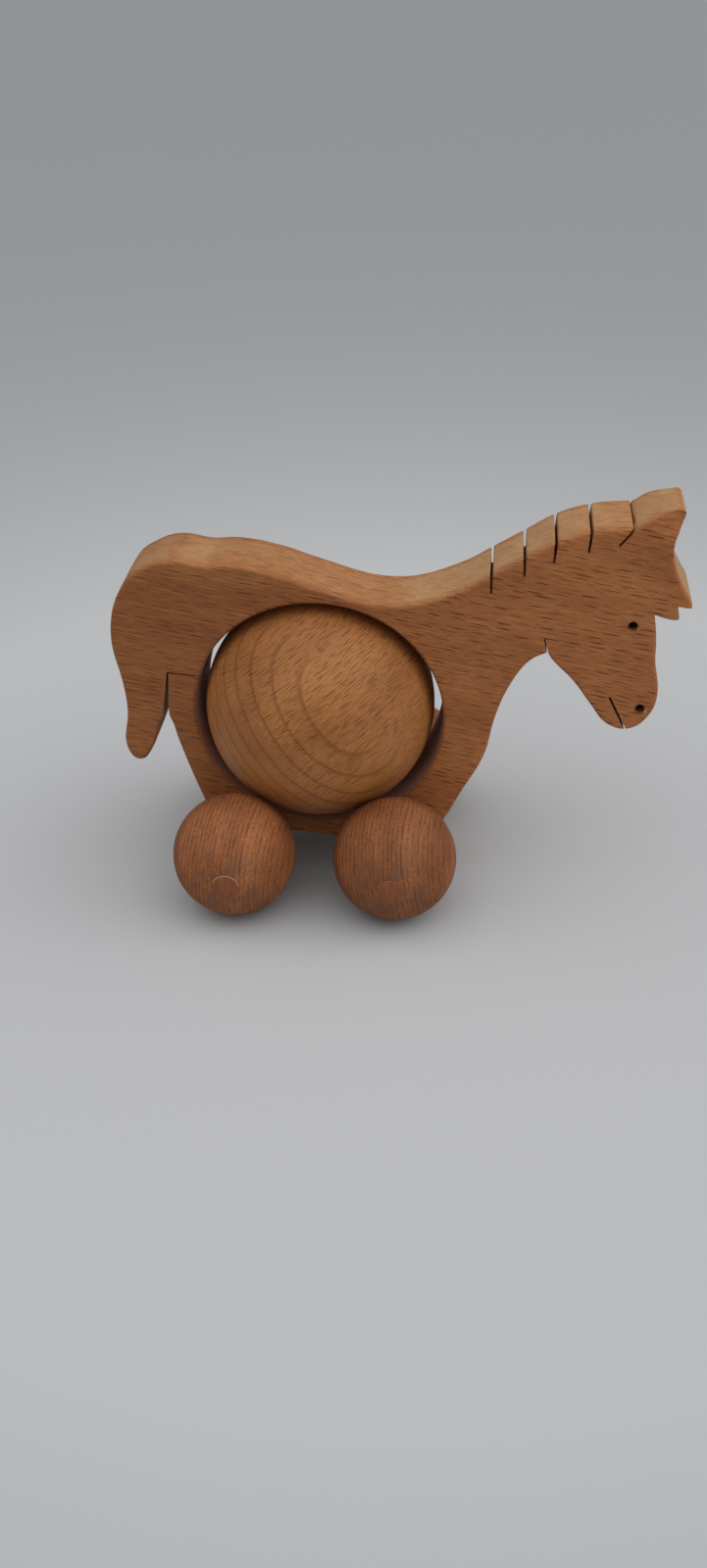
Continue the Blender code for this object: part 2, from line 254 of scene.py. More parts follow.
class DowelLooks(PropertyGroup):
    """The two dowels that carry the wheels."""

    light: colour_of("Light wood", "Paler wood of the dowels", 0.26, 0.09, 0.036)
    dark: colour_of("Dark wood", "End grain of the dowels", 0.2, 0.065, 0.025)
    glue: colour_of("Glue", "Pale line where glue squeezed out", 0.6, 0.36, 0.2)
    grain: turn_of("Grain", "How the tree lies in the dowels", 0.0, 0.0, 90.0)
    front_glue: share_of("Front glue", "How much glue shows at the front dowel", 0.12)
    rear_glue: share_of("Rear glue", "How much glue shows at the rear dowel", 0.85)
    end_bevel: length_of("End bevel", "Broken edge of a dowel's end", 0.15)


class StageLooks(PropertyGroup):
    """Floor, light and camera."""

    paper: colour_of("Floor", "Pale floor near the toy", 0.463, 0.47, 0.482)
    paper_far: colour_of("Far floor", "Floor where the light falls off", 0.272, 0.285, 0.295)
    pool: length_of("Pool of light", "How far from the toy the floor stays bright", 200.0)
    sky: colour_of("Background", "What shows above the floor", 0.286, 0.301, 0.31)
    camera: place_of("Camera", "Where the camera stands", 29.565, -401.69, 267.22)
    camera_turn: turn_of("Camera turn", "Tilt down, roll and turn of the camera", 31.06, 1.79, 6.13)
    lens: bpy.props.FloatProperty(
        name="Lens", description="Focal length on a 36 mm long side", default=36.83, unit="CAMERA"
    )
    key: strength_of("Key light", "Soft light from the right", 2.05)
    front: strength_of("Front light", "Soft light from high in front", 1.05)
    fill: strength_of("Fill light", "Soft light from high on the left", 1.13)


class Value:
    """A shader socket that Python's operators turn into Math nodes."""

    def __init__(self, shade, socket):
        self.shade = shade
        self.socket = socket

    def at(self, name):
        """Another output of the same node."""
        return Value(self.shade, self.socket.node.outputs[name])

    def __add__(self, other):
        return self.shade.math("ADD", self, other)

    def __sub__(self, other):
        return self.shade.math("SUBTRACT", self, other)

    def __rsub__(self, other):
        return self.shade.math("SUBTRACT", other, self)

    def __mul__(self, other):
        return self.shade.math("MULTIPLY", self, other)

    def __truediv__(self, other):
        return self.shade.math("DIVIDE", self, other)

    def __pow__(self, other):
        return self.shade.math("POWER", self, other)

    def __abs__(self):
        return self.shade.math("ABSOLUTE", self)

    __radd__ = __add__
    __rmul__ = __mul__


class Shade:
    """A node tree that is written as expressions."""

    def __init__(self, tree):
        self.tree = tree
        self.tree.nodes.clear()

    def node(self, kind, settings=None, sockets=None, out=0):
        """Any node: its settings are set first, then the values or links of its sockets."""
        node = self.tree.nodes.new("ShaderNode" + kind)
        for name, setting in (settings or {}).items():
            setattr(node, name, setting)
        for name, value in (sockets or {}).items():
            if isinstance(value, Value):
                self.tree.links.new(value.socket, node.inputs[name])
            else:
                node.inputs[name].default_value = value
        return Value(self, node.outputs[out]) if len(node.outputs) else node

    def math(self, operation, *values):
        """One number from others."""
        return self.node("Math", {"operation": operation}, dict(enumerate(values)))

    def vector(self, operation, first, second):
        """One vector from two."""
        return self.node("VectorMath", {"operation": operation}, {0: first, 1: second})

    def measure(self, operation, first, second):
        """One number from two vectors."""
        return self.node("VectorMath", {"operation": operation}, {0: first, 1: second}, out="Value")

    def scaled(self, colour, amount):
        """A colour made lighter or darker all over."""
        return self.node("VectorMath", {"operation": "SCALE"}, {"Vector": colour, "Scale": amount})

    def step(self, value, low, high):
        """0 below low and 1 above high, with a soft slope between."""
        return self.node(
            "MapRange", {"interpolation_type": "SMOOTHSTEP"},
            {"Value": value, "From Min": low, "From Max": high},
        )

    def mix(self, share, first, second):
        """One colour going over into another."""
        first, second = (c if isinstance(c, Value) else (*c, 1.0) for c in (first, second))
        return self.node(
            "Mix", {"data_type": "RGBA"}, {"Factor": share, 6: first, 7: second}, out=2
        )

    def parts(self, vector):
        """The three numbers of a vector."""
        split = self.node("SeparateXYZ", sockets={"Vector": vector})
        return split.at("X"), split.at("Y"), split.at("Z")


class Wood(Shade):
    """Beech, worked out in millimetres along the grain, out from the heart and around it."""

    def __init__(self, name, centre, turn):
        self.material = bpy.data.materials.new(name)
        self.material.use_nodes = True
        super().__init__(self.material.node_tree)
        self.place = self.node("TexCoord", out="Object")
        self.normal = self.place.at("Normal")
        self.local = self.node(
            "Mapping", {"vector_type": "TEXTURE"},
            {"Vector": self.place, "Location": centre, "Rotation": turn, "Scale": (MM, MM, MM)},
        )
        self.along, self.outward, self.around = self.parts(self.local)

    def noise(self, lengths, detail=2.0, shift=0.0):
        """Clouds of the given lengths in millimetres, from 0 to 1."""
        place = self.vector("DIVIDE", self.vector("ADD", self.local, (shift,) * 3), lengths)
        return self.node("TexNoise", sockets={"Vector": place, "Scale": 1.0, "Detail": detail})

    def speckle(self):
        """The finest specks of the wood, from 0 to 1."""
        return self.noise((0.4, 0.25, 0.25), 1.0, 9.1)

    def dice(self, *cell):
        """Random numbers that hold all over one cell."""
        place = self.node("CombineXYZ", sockets=dict(zip("XYZ", cell)))
        return self.node("TexWhiteNoise", {"noise_dimensions": "3D"}, {"Vector": place})

    def flecks(self, room, length, width, shift=0.0):
        """Rays cut across: rows of spindles along the grain, at most one to a cell of this room."""
        pitch = [side / MM for side in room]
        length, width = length / MM, width / MM
        sway = (self.noise((60.0, 40.0, 40.0), shift=shift) - 0.5) * 3.0
        row = (self.around + sway) / pitch[2] + shift
        course = self.math("FLOOR", row)
        layer = self.math("FLOOR", self.outward / pitch[1]) + shift
        cell = self.along / pitch[0] + self.dice(course, layer, shift) * 9.0
        brick = self.math("FLOOR", cell)
        chance = self.dice(brick, course, layer)
        long, thick, lift = self.parts(chance.at("Color"))
        ahead = (cell - brick - 0.5) * pitch[0] / (length * (0.3 + 0.2 * long))
        aside = (row - course - 0.25 - 0.5 * lift) * pitch[2] / (width * (0.3 + 0.4 * thick))
        body = 1.0 - ahead * ahead - abs(aside)
        return self.step(body, 0.0, 0.25) * self.step(chance, 0.2, 0.5)

    def from_heart(self, heart, uneven):
        """Distance in millimetres from the heart of the tree, a little uneven."""
        out = self.outward + heart
        sway = (self.noise((60.0, 6.0, 30.0)) - 0.5) * uneven
        return (out * out + self.around * self.around) ** 0.5 + sway

    def rings(self, years, soft):
        """Late wood: a thin line for each year, soft on the side that it grew from."""
        season = self.math("FRACT", years)
        return self.step(season, 1.0 - soft, 0.94) * self.step(season, 1.0, 0.96)

    def tube(self, centre):
        """Distance in millimetres from an axis across the board."""
        x, _, z = self.parts(self.vector("SUBTRACT", self.place, centre))
        return (x * x + z * z) ** 0.5 / MM

    def finish(self, colour, roughness, height, depth):
        """The surface: oil over sanded wood, with the pores and flecks standing a little low."""
        bump = self.node(
            "Bump", sockets={"Strength": 0.6, "Distance": depth * MM, "Height": height}, out="Normal"
        )
        surface = self.node(
            "BsdfPrincipled", sockets={
                "Base Color": colour, "Roughness": roughness, "Normal": bump,
                "Specular IOR Level": OIL_SHINE,
            },
        )
        self.node("OutputMaterial", sockets={"Surface": surface})
        return self.material


def drill_holes(wood, looks, colour, depth, across):
    """Eye and nostril: charred, with torn rims, and one bare chip beside the nostril."""
    ragged = (wood.noise((0.6, 0.6, 0.6), 2.0, 2.2) - 0.5) * 1.6
    for corner in (looks.eye, looks.nostril):
        drilled = wood.tube(NOSE_TOP + Vector(corner)) - looks.eye_radius / MM
        inside = wood.step(drilled, 0.12, 0.02) * wood.step(depth + ragged, 0.4, 2.0)
        torn = wood.step(drilled + ragged, 0.5, -0.1) * 0.6
        colour = wood.mix(wood.math("MAXIMUM", inside * 0.75, torn), colour, looks.char)
    chip = wood.tube(NOSE_TOP + Vector(looks.nostril) + Vector(looks.chip_offset))
    on_right = wood.step(across, 0.0, -MM)
    chipped = wood.step(chip + ragged * 0.4, looks.chip_radius / MM, 0.2) * on_right
    return wood.mix(chipped * 0.6, colour, looks.chip)


def board_wood(looks):
    """The board: short dark flecks in rows, paler edges, painted shade in the saw cuts and the belly hole,
    charred drill holes.
    """
    wood = Wood("oiled_beech_board", (0.0, 0.0, 0.0), looks.grain)
    broad = wood.noise((70.0, 16.0, 16.0), 3.0)
    fibre = wood.noise((9.0, 0.5, 0.5), 3.0)
    pores = wood.noise((1.5, 0.14, 0.14), 2.0)
    lumps = wood.noise((16.0, 16.0, 16.0), 1.0, 4.2)
    patches = wood.step(wood.noise((9.0, 9.0, 9.0), 2.0, 8.8), 0.35, 0.65)
    ahead, across, _ = wood.parts(wood.place)
    _, sideways, _ = wood.parts(wood.normal)
    depth = (BOARD_HALF - abs(across)) / MM
    rim = (BALL_RADIUS + looks.hole_gap) / MM
    past_rim = wood.tube(BALL_CENTRE + Vector(looks.hole_offset)) - rim

    # The board, with painted light: it is painted paler towards the head, as if lit more strongly there
    forward = wood.step(ahead, -NOSE_TOP.x, NOSE_TOP.x)
    colour = wood.mix(wood.step(broad, 0.3, 0.7), looks.dark, looks.light)
    colour = wood.scaled(colour, 1.0 - looks.painted_head_light / 2.0 + looks.painted_head_light * forward)

    # Sanded edges, palest where they cut across the grain and in the dip of the rump. Their paleness is
    # partly painted sheen of the light on the edges, strongest towards the head
    cut = wood.node("Attribute", {"attribute_name": SAW_CUT}, out="Fac")
    edge = wood.step(abs(sideways), 0.75, 0.2) * wood.step(past_rim, 0.5, 2.0)
    edge = edge * (0.25 + wood.step(depth, 0.4, 4.5) * 0.75) * (1.0 - cut)
    into_grain = wood.measure("DOT_PRODUCT", wood.normal, grain_way(looks.grain))
    end_grain = wood.step(abs(into_grain), 0.1, 0.5)
    from_dip = wood.tube(NOSE_TOP + Vector(looks.bare)) + (lumps - 0.5) * 6.0
    bare = wood.step(from_dip, looks.bare_radius / MM, looks.bare_radius * 0.4 / MM)
    # Painted sheen: the edges are painted paler towards the head, where more light falls
    head_sheen = wood.step(ahead, -30.0 * MM, 20.0 * MM)
    pale = 0.24 + end_grain * (0.22 + head_sheen * 0.38) + patches * 0.26 + bare * 0.28
    colour = wood.mix(edge * pale * looks.edge_and_sheen_tone, colour, looks.edge)

    # Fibres, pores and flecks, which are faint on end grain
    colour = wood.mix(wood.step(fibre, 0.48, 0.75) * 0.22, colour, looks.edge)
    colour = wood.scaled(colour, 0.6 + fibre * 0.6 + wood.speckle() * 0.2)
    colour = wood.mix(wood.step(pores, 0.56, 0.72) * 0.28, colour, looks.fleck)
    flecks = wood.flecks(looks.fleck_room, looks.fleck_length, looks.fleck_width)
    small = wood.flecks(looks.small_room, looks.fleck_length * 0.5, looks.fleck_width * 0.65, 17.3)
    bold = 0.74 + wood.step(ahead, -60.0 * MM, 0.0) * 0.2 - edge * (end_grain * 0.4 + bare * 0.3)
    colour = wood.mix(small * 0.6 * bold, colour, looks.fleck)
    colour = wood.mix(flecks * bold, colour, looks.fleck)

    # Painted shade in the narrow saw cuts and on the belly hole's wall, then the charred drill holes
    colour = wood.mix(cut * 0.85, colour, looks.cut)
    # Painted shade on the belly hole's wall, which is also left rougher
    hole_wall = wood.step(past_rim, 1.5, 0.5) * wood.step(abs(sideways), 0.6, 0.1)
    colour = wood.mix(hole_wall * 0.9, colour, looks.hole_shade)
    colour = drill_holes(wood, looks, colour, depth, across)

    height = fibre * 0.5 - flecks * 0.5 - wood.step(pores, 0.5, 0.75) * 0.5 + lumps * 1.5
    roughness = 0.48 + fibre * 0.16 + hole_wall * 0.3
    return wood.finish(colour, roughness, height, 0.12)


def ball_wood(looks):
    """The ball: golden, with a target of growth rings where they lie flat to the surface."""
    wood = Wood("oiled_beech_ball", BALL_CENTRE, looks.grain)
    broad = wood.noise((50.0, 14.0, 14.0), 3.0)
    fibre = wood.noise((8.0, 0.45, 0.45), 3.0)
    pores = wood.noise((1.4, 0.14, 0.14), 2.0)
    flecks = wood.flecks(looks.fleck_room, looks.fleck_length, looks.fleck_width)
    small = wood.flecks(looks.small_room, looks.fleck_length * 0.55, looks.fleck_width * 0.7, 31.7)
    outermost = (looks.heart + BALL_RADIUS) / MM
    inward = wood.math("MAXIMUM", outermost - wood.from_heart(looks.heart / MM, 0.7), 0.0)
    rings = wood.rings(0.9 - inward ** 0.75 / (looks.ring_pitch / MM), 0.3)
    rings = rings * wood.step(wood.along, 12.0, -6.0) * wood.step(inward, 0.3, 1.0)
    flank = abs(wood.around) / (BALL_RADIUS / MM)
    flat_sawn = (1.0 - flank ** 4.0) * wood.step(wood.along, -29.0, -16.0)
    colour = wood.mix(wood.step(broad, 0.3, 0.65), looks.dark, looks.light)
    colour = wood.mix(rings * 0.38, colour, looks.fleck)
    from_knot = wood.measure("DISTANCE", wood.place, BALL_CENTRE + Vector(looks.knot))
    knot = wood.step(from_knot, looks.knot_radius, looks.knot_radius * 0.3)
    colour = wood.mix(knot * 0.45, colour, looks.fleck)
    colour = wood.scaled(colour, 0.56 + fibre * 0.68 + wood.speckle() * 0.2)
    colour = wood.mix(wood.step(pores, 0.56, 0.72) * 0.28, colour, looks.fleck)
    colour = wood.mix(small * 0.7 * flat_sawn, colour, looks.fleck)
    colour = wood.mix(flecks * flat_sawn, colour, looks.fleck)
    height = fibre * 0.5 - flecks * 0.4 - wood.step(pores, 0.5, 0.75) * 0.4
    return wood.finish(colour, 0.42 + fibre * 0.15, height, 0.1)


def wheel_wood(looks, name, centre, turn, tone):
    """A wheel: dull, with close uneven rings that stand upright and dirt around the dowel, which is partly
    painted shade and a painted grey reflection of the floor.
    """
    wood = Wood(name, centre, turn)
    broad = wood.noise((24.0, 8.0, 8.0), 3.0)
    fibre = wood.noise((5.0, 0.35, 0.6), 3.0)
    pores = wood.noise((1.6, 0.16, 0.4), 2.0)
    speckle = wood.speckle()
    jitter = wood.noise((30.0, 1.6, 20.0), 2.0, 6.4) * 1.2
    years = (wood.from_heart(looks.heart / MM, 1.6) + jitter) / (looks.ring_pitch / MM)
    broken = wood.step(wood.noise((3.5, 0.8, 6.0), 3.0, 7.7), 0.32, 0.62)
    colour = wood.mix(0.5 + wood.step(broad, 0.3, 0.7) * 0.5, looks.dark, looks.light)
    colour = wood.mix(wood.rings(years, 0.42) * broken * 0.85, colour, looks.dark)
    fluff = wood.step(wood.noise((1.5, 0.22, 0.4), 2.0, 2.5), 0.53, 0.7)
    colour = wood.mix(fluff * 0.5, colour, wood.scaled(colour, 1.75))
    colour = wood.scaled(colour, tone * (0.12 + fibre * 0.4 + speckle * 1.4))
    colour = wood.mix(wood.step(pores, 0.54, 0.72) * 0.35, colour, looks.dark)
    # Dirt around the dowel, partly painted shade and a painted grey reflection of the floor
    cloudy = wood.step(wood.noise((6.0, 6.0, 6.0), 4.0, 3.1), 0.35, 0.7)
    grime_and_shade = cloudy * wood.step(wood.tube(centre), 14.0, 5.0)
    colour = wood.mix(grime_and_shade * 0.6, colour, looks.grime_and_shade)
    height = fibre * 0.6 + speckle * 0.4 - wood.step(pores, 0.5, 0.75) * 0.5
    return wood.finish(colour, 0.58 + fibre * 0.18, height, 0.14)


def dowel_wood(looks, name, centre, glued):
    """A dowel: end grain at both ends, a shade darker than the wheels, with a crescent of glue."""
    wood = Wood(name, centre, looks.grain)
    fibre = wood.noise((9.0, 0.4, 0.4), 3.0)
    pores = wood.noise((1.8, 0.22, 0.22), 2.0)
    streaks = wood.noise((30.0, 0.7, 5.0), 2.0, 5.0)
    colour = wood.mix(wood.step(streaks, 0.3, 0.7), looks.dark, looks.light)
    colour = wood.scaled(colour, 0.8 + fibre * 0.4)
    colour = wood.mix(wood.step(pores, 0.56, 0.7) * 0.3, colour, looks.dark)
    out = (wood.outward * wood.outward + wood.around * wood.around) ** 0.5
    upper = wood.step(wood.around - wood.outward * 0.15, 0.2, 1.8)
    rim = DOWEL_RADIUS / MM
    on_right = wood.step(wood.along, 0.0, -20.0)
    crescent = wood.step(out, rim - 0.45, rim - 0.25) * upper * on_right
    colour = wood.mix(crescent * glued, colour, looks.glue)
    return wood.finish(colour, 0.55 + fibre * 0.15, fibre, 0.1)


def start_clean():
    """Nothing is selected and no mesh is open."""
    if bpy.context.object and bpy.context.object.mode != "OBJECT":
        bpy.ops.object.mode_set(mode="OBJECT")
    bpy.ops.object.select_all(action="DESELECT")


def open_mesh(piece):
    """Makes a piece the active one and opens its mesh with everything selected."""
    start_clean()
    piece.select_set(True)
    bpy.context.view_layer.objects.active = piece
    bpy.ops.object.mode_set(mode="EDIT")
    bpy.ops.mesh.select_mode(type="FACE")
    bpy.ops.mesh.select_all(action="SELECT")


def pick_faces(piece, test):
    """Selects only the faces that pass a test, in the open mesh."""
    bpy.ops.mesh.select_mode(type="FACE")
    bpy.ops.mesh.select_all(action="DESELECT")
    bpy.ops.object.mode_set(mode="OBJECT")
    for face in piece.data.polygons:
        face.select = test(face)
    bpy.ops.object.mode_set(mode="EDIT")


def pick_edges(piece, test):
    """Selects only the edges that pass a test, in the open mesh."""
    bpy.ops.mesh.select_mode(type="EDGE")
    bpy.ops.mesh.select_all(action="DESELECT")
    shape = bmesh.from_edit_mesh(piece.data)
    for edge in shape.edges:
        edge.select_set(test(edge))
    bmesh.update_edit_mesh(piece.data)


def pick_verts(piece, test):
    """Selects only the corners that pass a test, in the open mesh."""
    bpy.ops.mesh.select_mode(type="VERT")
    bpy.ops.mesh.select_all(action="DESELECT")
    shape = bmesh.from_edit_mesh(piece.data)
    for vert in shape.verts:
        vert.select_set(test(vert))
    bmesh.update_edit_mesh(piece.data)


def copy_node(node, name):
    """A merged copy of a node's mesh as a new piece, with its mesh open."""
    piece = bpy.data.objects.new(name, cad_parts[node].data.copy())
    bpy.context.scene.collection.objects.link(piece)
    piece.data.materials.clear()
    open_mesh(piece)
    bpy.ops.mesh.remove_doubles(threshold=COPY_MERGE)
    bpy.ops.mesh.customdata_custom_splitnormals_clear()
    return piece


def merge_all(distance):
    """Merges corners that nearly meet and dissolves faces without area, in the open mesh."""
    bpy.ops.mesh.select_all(action="SELECT")
    bpy.ops.mesh.remove_doubles(threshold=distance)
    bpy.ops.mesh.dissolve_degenerate(threshold=distance)


def apply_modifier(piece, kind, **settings):
    """Adds a modifier and applies it at once."""
    start_clean()
    piece.select_set(True)
    bpy.context.view_layer.objects.active = piece
    bpy.ops.object.modifier_add(type=kind)
    modifier = piece.modifiers[-1]
    for name, setting in settings.items():
        setattr(modifier, name, setting)
    bpy.ops.object.modifier_apply(modifier=modifier.name)


def hand_over(piece, material, body, node):
    """A finished piece takes its wood, rides on its body and stands for its node."""
    start_clean()
    piece.data.materials.clear()
    piece.data.materials.append(material)
    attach(piece, body)
    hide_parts(node)


class HORSE_OT_board(Operator):
    """Sand the sawn board: its outline becomes round where it is round, its sides stay flat"""

    bl_idname = "horse.board"
    bl_label = "Board"

    # How faces and edges of the board are told apart
    side_face = 0.975
    upright_face = 0.2
    facing_wall = -0.95
    side_margin = 0.02 * MM
    mouth_angle = math.radians(45.0)
    entry_angle = math.radians(60.0)
    entry_length = 5.0 * MM
    quad_angle = math.radians(4.0)
    any_angle = math.radians(180.0)

    # Parts of the head, as distances back and down from the top front corner of the board's box
    forelock_back = 12.0 * MM
    forelock_top = 15.0 * MM
    forelock_foot = 34.0 * MM
    crest_foot = 30.0 * MM

    # The ear: the way it points, how far back its foot reaches, the shares of its taper where it is
    # cut, and the share at its tip that is thinned in full
    ear_way = Vector((0.5, 0.0, 0.85)).normalized()
    ear_foot = 12.0 * MM
    ear_cuts = (1.0, 0.75, 0.5, 0.25)
    ear_end = 0.2

    def execute(self, context):
        looks = context.scene.horse_board
        piece = copy_node("body", "sanded_horse")
        pick_edges(piece, self.is_kerf_mouth)
        bpy.ops.mesh.bevel(offset=looks.mouth_round, segments=WORN_EDGE_STEPS)
        pick_edges(piece, self.is_saw_entry)
        bpy.ops.mesh.bevel(offset=looks.entry_round, segments=WORN_EDGE_STEPS)
        self.thin_ear(piece, looks)
        merge_all(BEVEL_MERGE)
        self.crease_edges(piece, looks)
        self.mark_cuts(piece.data, looks.cut_reach)
        apply_modifier(
            piece, "SUBSURF", levels=looks.smoothness, render_levels=looks.smoothness,
            uv_smooth="NONE",
        )
        self.flatten_sides(piece)
        bpy.ops.object.shade_smooth_by_angle(angle=looks.crease_angle)
        apply_modifier(piece, "WEIGHTED_NORMAL", keep_sharp=True)
        hand_over(piece, board_wood(looks), "horse", "body")
        return {"FINISHED"}

    def thin_ear(self, piece, looks):
        """Sands the ear thinner towards its tip, on both sides."""
        tip = NOSE_TOP + Vector(looks.ear_tip)
        tip.y = 0.0
        for share in self.ear_cuts:
            bpy.ops.mesh.select_all(action="SELECT")
            bpy.ops.mesh.bisect(
                plane_co=tip - self.ear_way * looks.ear_reach * share, plane_no=self.ear_way
            )
        lowest = -self.ear_end * looks.ear_reach
        hindmost = tip.x - self.ear_foot
        pick_verts(
            piece, lambda vert: (vert.co - tip).dot(self.ear_way) > lowest and vert.co.x > hindmost
        )
        bpy.ops.transform.resize(
            value=(1.0, looks.ear_thin, 1.0), center_override=tip, use_proportional_edit=True,
            proportional_edit_falloff="SMOOTH", proportional_size=looks.ear_reach,
            use_proportional_connected=True,
        )

    def crease_edges(self, piece, looks):
        """Keeps the sharp edges crisp under the smoothing, apart from the forelock's tips."""
        pick_faces(piece, lambda face: abs(face.normal.y) < self.side_face)
        bpy.ops.mesh.tris_convert_to_quads(
            face_threshold=self.quad_angle, shape_threshold=self.any_angle
        )
        pick_faces(piece, lambda face: abs(face.normal.y) >= self.side_face)
        bpy.ops.mesh.region_to_loop()
        bpy.ops.transform.edge_crease(value=1.0)
        bpy.ops.mesh.select_all(action="DESELECT")
        bpy.ops.mesh.edges_select_sharp(sharpness=looks.crease_angle)
        bpy.ops.transform.edge_crease(value=1.0)
        pick_edges(piece, self.is_forelock_tip)
        bpy.ops.transform.edge_crease(value=-1.0)
        bpy.ops.object.mode_set(mode="OBJECT")

    def mark_cuts(self, mesh, reach):
        """Marks the walls of the narrow saw cuts, and the ends between them, for the material."""
        corners = [vert.co for vert in mesh.vertices]
        tree = BVHTree.FromPolygons(corners, [face.vertices for face in mesh.polygons])
        upright = [face for face in mesh.polygons if abs(face.normal.y) < self.upright_face]
        walls = []
        for face in upright:
            just_off = face.center + face.normal * COPY_MERGE
            _, facing, _, _ = tree.ray_cast(just_off, face.normal, reach)
            if facing and facing.dot(face.normal) < self.facing_wall:
                walls.append(face)
        on_wall = {corner for face in walls for corner in face.vertices}
        marks = mesh.attributes.new(SAW_CUT, "FLOAT", "FACE")
        for face in upright:
            marks.data[face.index].value = float(on_wall.issuperset(face.vertices))

    def flatten_sides(self, piece):
        """Presses what the smoothing pushed out of the two flat sides back into them."""
        for side in (-1, 1):
            open_mesh(piece)
            pick_verts(piece, lambda vert: vert.co.y * side > BOARD_HALF)
            bpy.ops.transform.resize(
                value=(1.0, 0.0, 1.0), center_override=(0.0, side * BOARD_HALF, 0.0)
            )
        merge_all(SMOOTH_MERGE)
        bpy.ops.object.mode_set(mode="OBJECT")

    def is_outer(self, edge):
        """A sharp edge of the outline, across the board."""
        middle_y = (edge.verts[0].co.y + edge.verts[1].co.y) / 2
        sharp = edge.is_manifold and edge.calc_face_angle_signed() > self.mouth_angle
        return sharp and abs(middle_y) < BOARD_HALF - self.side_margin

    def is_forelock(self, place):
        """Below the ear and in front of the eye."""
        in_front = place.x > NOSE_TOP.x - self.forelock_back
        return in_front and place.z < NOSE_TOP.z - self.forelock_top

    def is_kerf_mouth(self, edge):
        """Where the mane and ear cuts come out on the crest."""
        place = edge.verts[0].co
        high = place.z > NOSE_TOP.z - self.crest_foot
        return high and not self.is_forelock(place) and self.is_outer(edge)

    def is_forelock_tip(self, edge):
        """The two teeth in front of the eye."""
        place = edge.verts[0].co
        high = place.z > NOSE_TOP.z - self.forelock_foot
        return high and self.is_forelock(place) and self.is_outer(edge)

    def is_saw_entry(self, edge):
        """The long straight edges that the saw left on its way to the belly hole."""
        sharp = edge.is_manifold and edge.calc_face_angle_signed() > self.entry_angle
        on_side = all(abs(vert.co.y) > BOARD_HALF - self.side_margin for vert in edge.verts)
        behind = edge.verts[0].co.x < BALL_CENTRE.x - BALL_RADIUS
        return sharp and on_side and behind and edge.calc_length() > self.entry_length


class HORSE_OT_ball(Operator):
    """Turn the large ball, with a small flat at each end where the lathe held it"""

    bl_idname = "horse.ball"
    bl_label = "Belly ball"

    def execute(self, context):
        looks = context.scene.horse_ball
        start_clean()
        bpy.ops.mesh.primitive_ico_sphere_add(
            subdivisions=BALL_SUBDIVISIONS, radius=BALL_RADIUS, location=BALL_CENTRE
        )
        piece = context.object
        piece.name = "turned_ball"
        bpy.ops.object.transform_apply(location=True, rotation=True, scale=True)
        sanding = bpy.data.textures.new("hand_sanding", "CLOUDS")
        sanding.noise_scale = looks.waves
        apply_modifier(
            piece, "DISPLACE", texture=sanding, strength=looks.uneven, texture_coords="LOCAL"
        )
        along = grain_way(looks.grain)
        reach = reach_at(BALL_RADIUS, looks.flat)
        for side in (-1, 1):
            open_mesh(piece)
            bpy.ops.mesh.bisect(
                plane_co=BALL_CENTRE + side * reach * along, plane_no=side * along,
                use_fill=True, clear_outer=True,
            )
            bpy.ops.mesh.region_to_loop()
            bpy.ops.mesh.bevel(offset=looks.flat_bevel, segments=WORN_EDGE_STEPS)
        bpy.ops.object.mode_set(mode="OBJECT")
        bpy.ops.object.shade_smooth()
        hand_over(piece, ball_wood(looks), "ball", "belly_ball")
        return {"FINISHED"}


def ball_wheel(name, centre, looks):
    """A ball bored along Y, with the edge of the bore broken."""
    bore_edge, smooth_below = math.radians(40.0), math.radians(30.0)
    reach = reach_at(WHEEL_RADIUS, DOWEL_RADIUS + looks.bore_gap)
    start_clean()
    bpy.ops.mesh.primitive_uv_sphere_add(
        segments=WHEEL_SEGMENTS, ring_count=WHEEL_RINGS, radius=WHEEL_RADIUS, location=centre,
        rotation=(QUARTER_TURN, 0.0, 0.0),
    )
    piece = bpy.context.object
    piece.name = name
    bpy.ops.object.transform_apply(location=True, rotation=True, scale=True)
    for side in (-1, 1):
        open_mesh(piece)
        bpy.ops.mesh.bisect(
            plane_co=centre + Vector((0.0, side * reach, 0.0)), plane_no=(0.0, side, 0.0),
            clear_outer=True,
        )
    bpy.ops.mesh.select_mode(type="EDGE")
    bpy.ops.mesh.select_all(action="DESELECT")
    bpy.ops.mesh.select_non_manifold()
    bpy.ops.mesh.bridge_edge_loops()
    bpy.ops.mesh.select_all(action="DESELECT")
    bpy.ops.mesh.edges_select_sharp(sharpness=bore_edge)
    bpy.ops.mesh.bevel(offset=looks.bore_bevel, segments=ROUND_EDGE_STEPS)
    bpy.ops.mesh.select_all(action="SELECT")
    bpy.ops.mesh.normals_make_consistent(inside=False)
    bpy.ops.object.mode_set(mode="OBJECT")
    bpy.ops.object.shade_smooth_by_angle(angle=smooth_below)
    return piece


class HORSE_OT_wheels(Operator):
    """Turn and bore the four ball wheels"""

    bl_idname = "horse.wheels"
    bl_label = "Ball wheels"

    def execute(self, context):
        looks = context.scene.horse_wheel
        for side, end in product((RIGHT, LEFT), (FRONT, REAR)):
            node = f"{end}_{side}_wheel"
            centre = middle(node)
            axle = middle(f"{end}_axle")
            centre.x, centre.z = axle.x, axle.z
            piece = ball_wheel(f"turned_{node}", centre, looks)
            turn, tone = getattr(looks, f"{end}_{side}"), getattr(looks, f"{end}_tone")
            material = wheel_wood(looks, f"oiled_beech_{node}", centre, turn, tone)
            hand_over(piece, material, f"{end}_wheel_set", node)
        return {"FINISHED"}


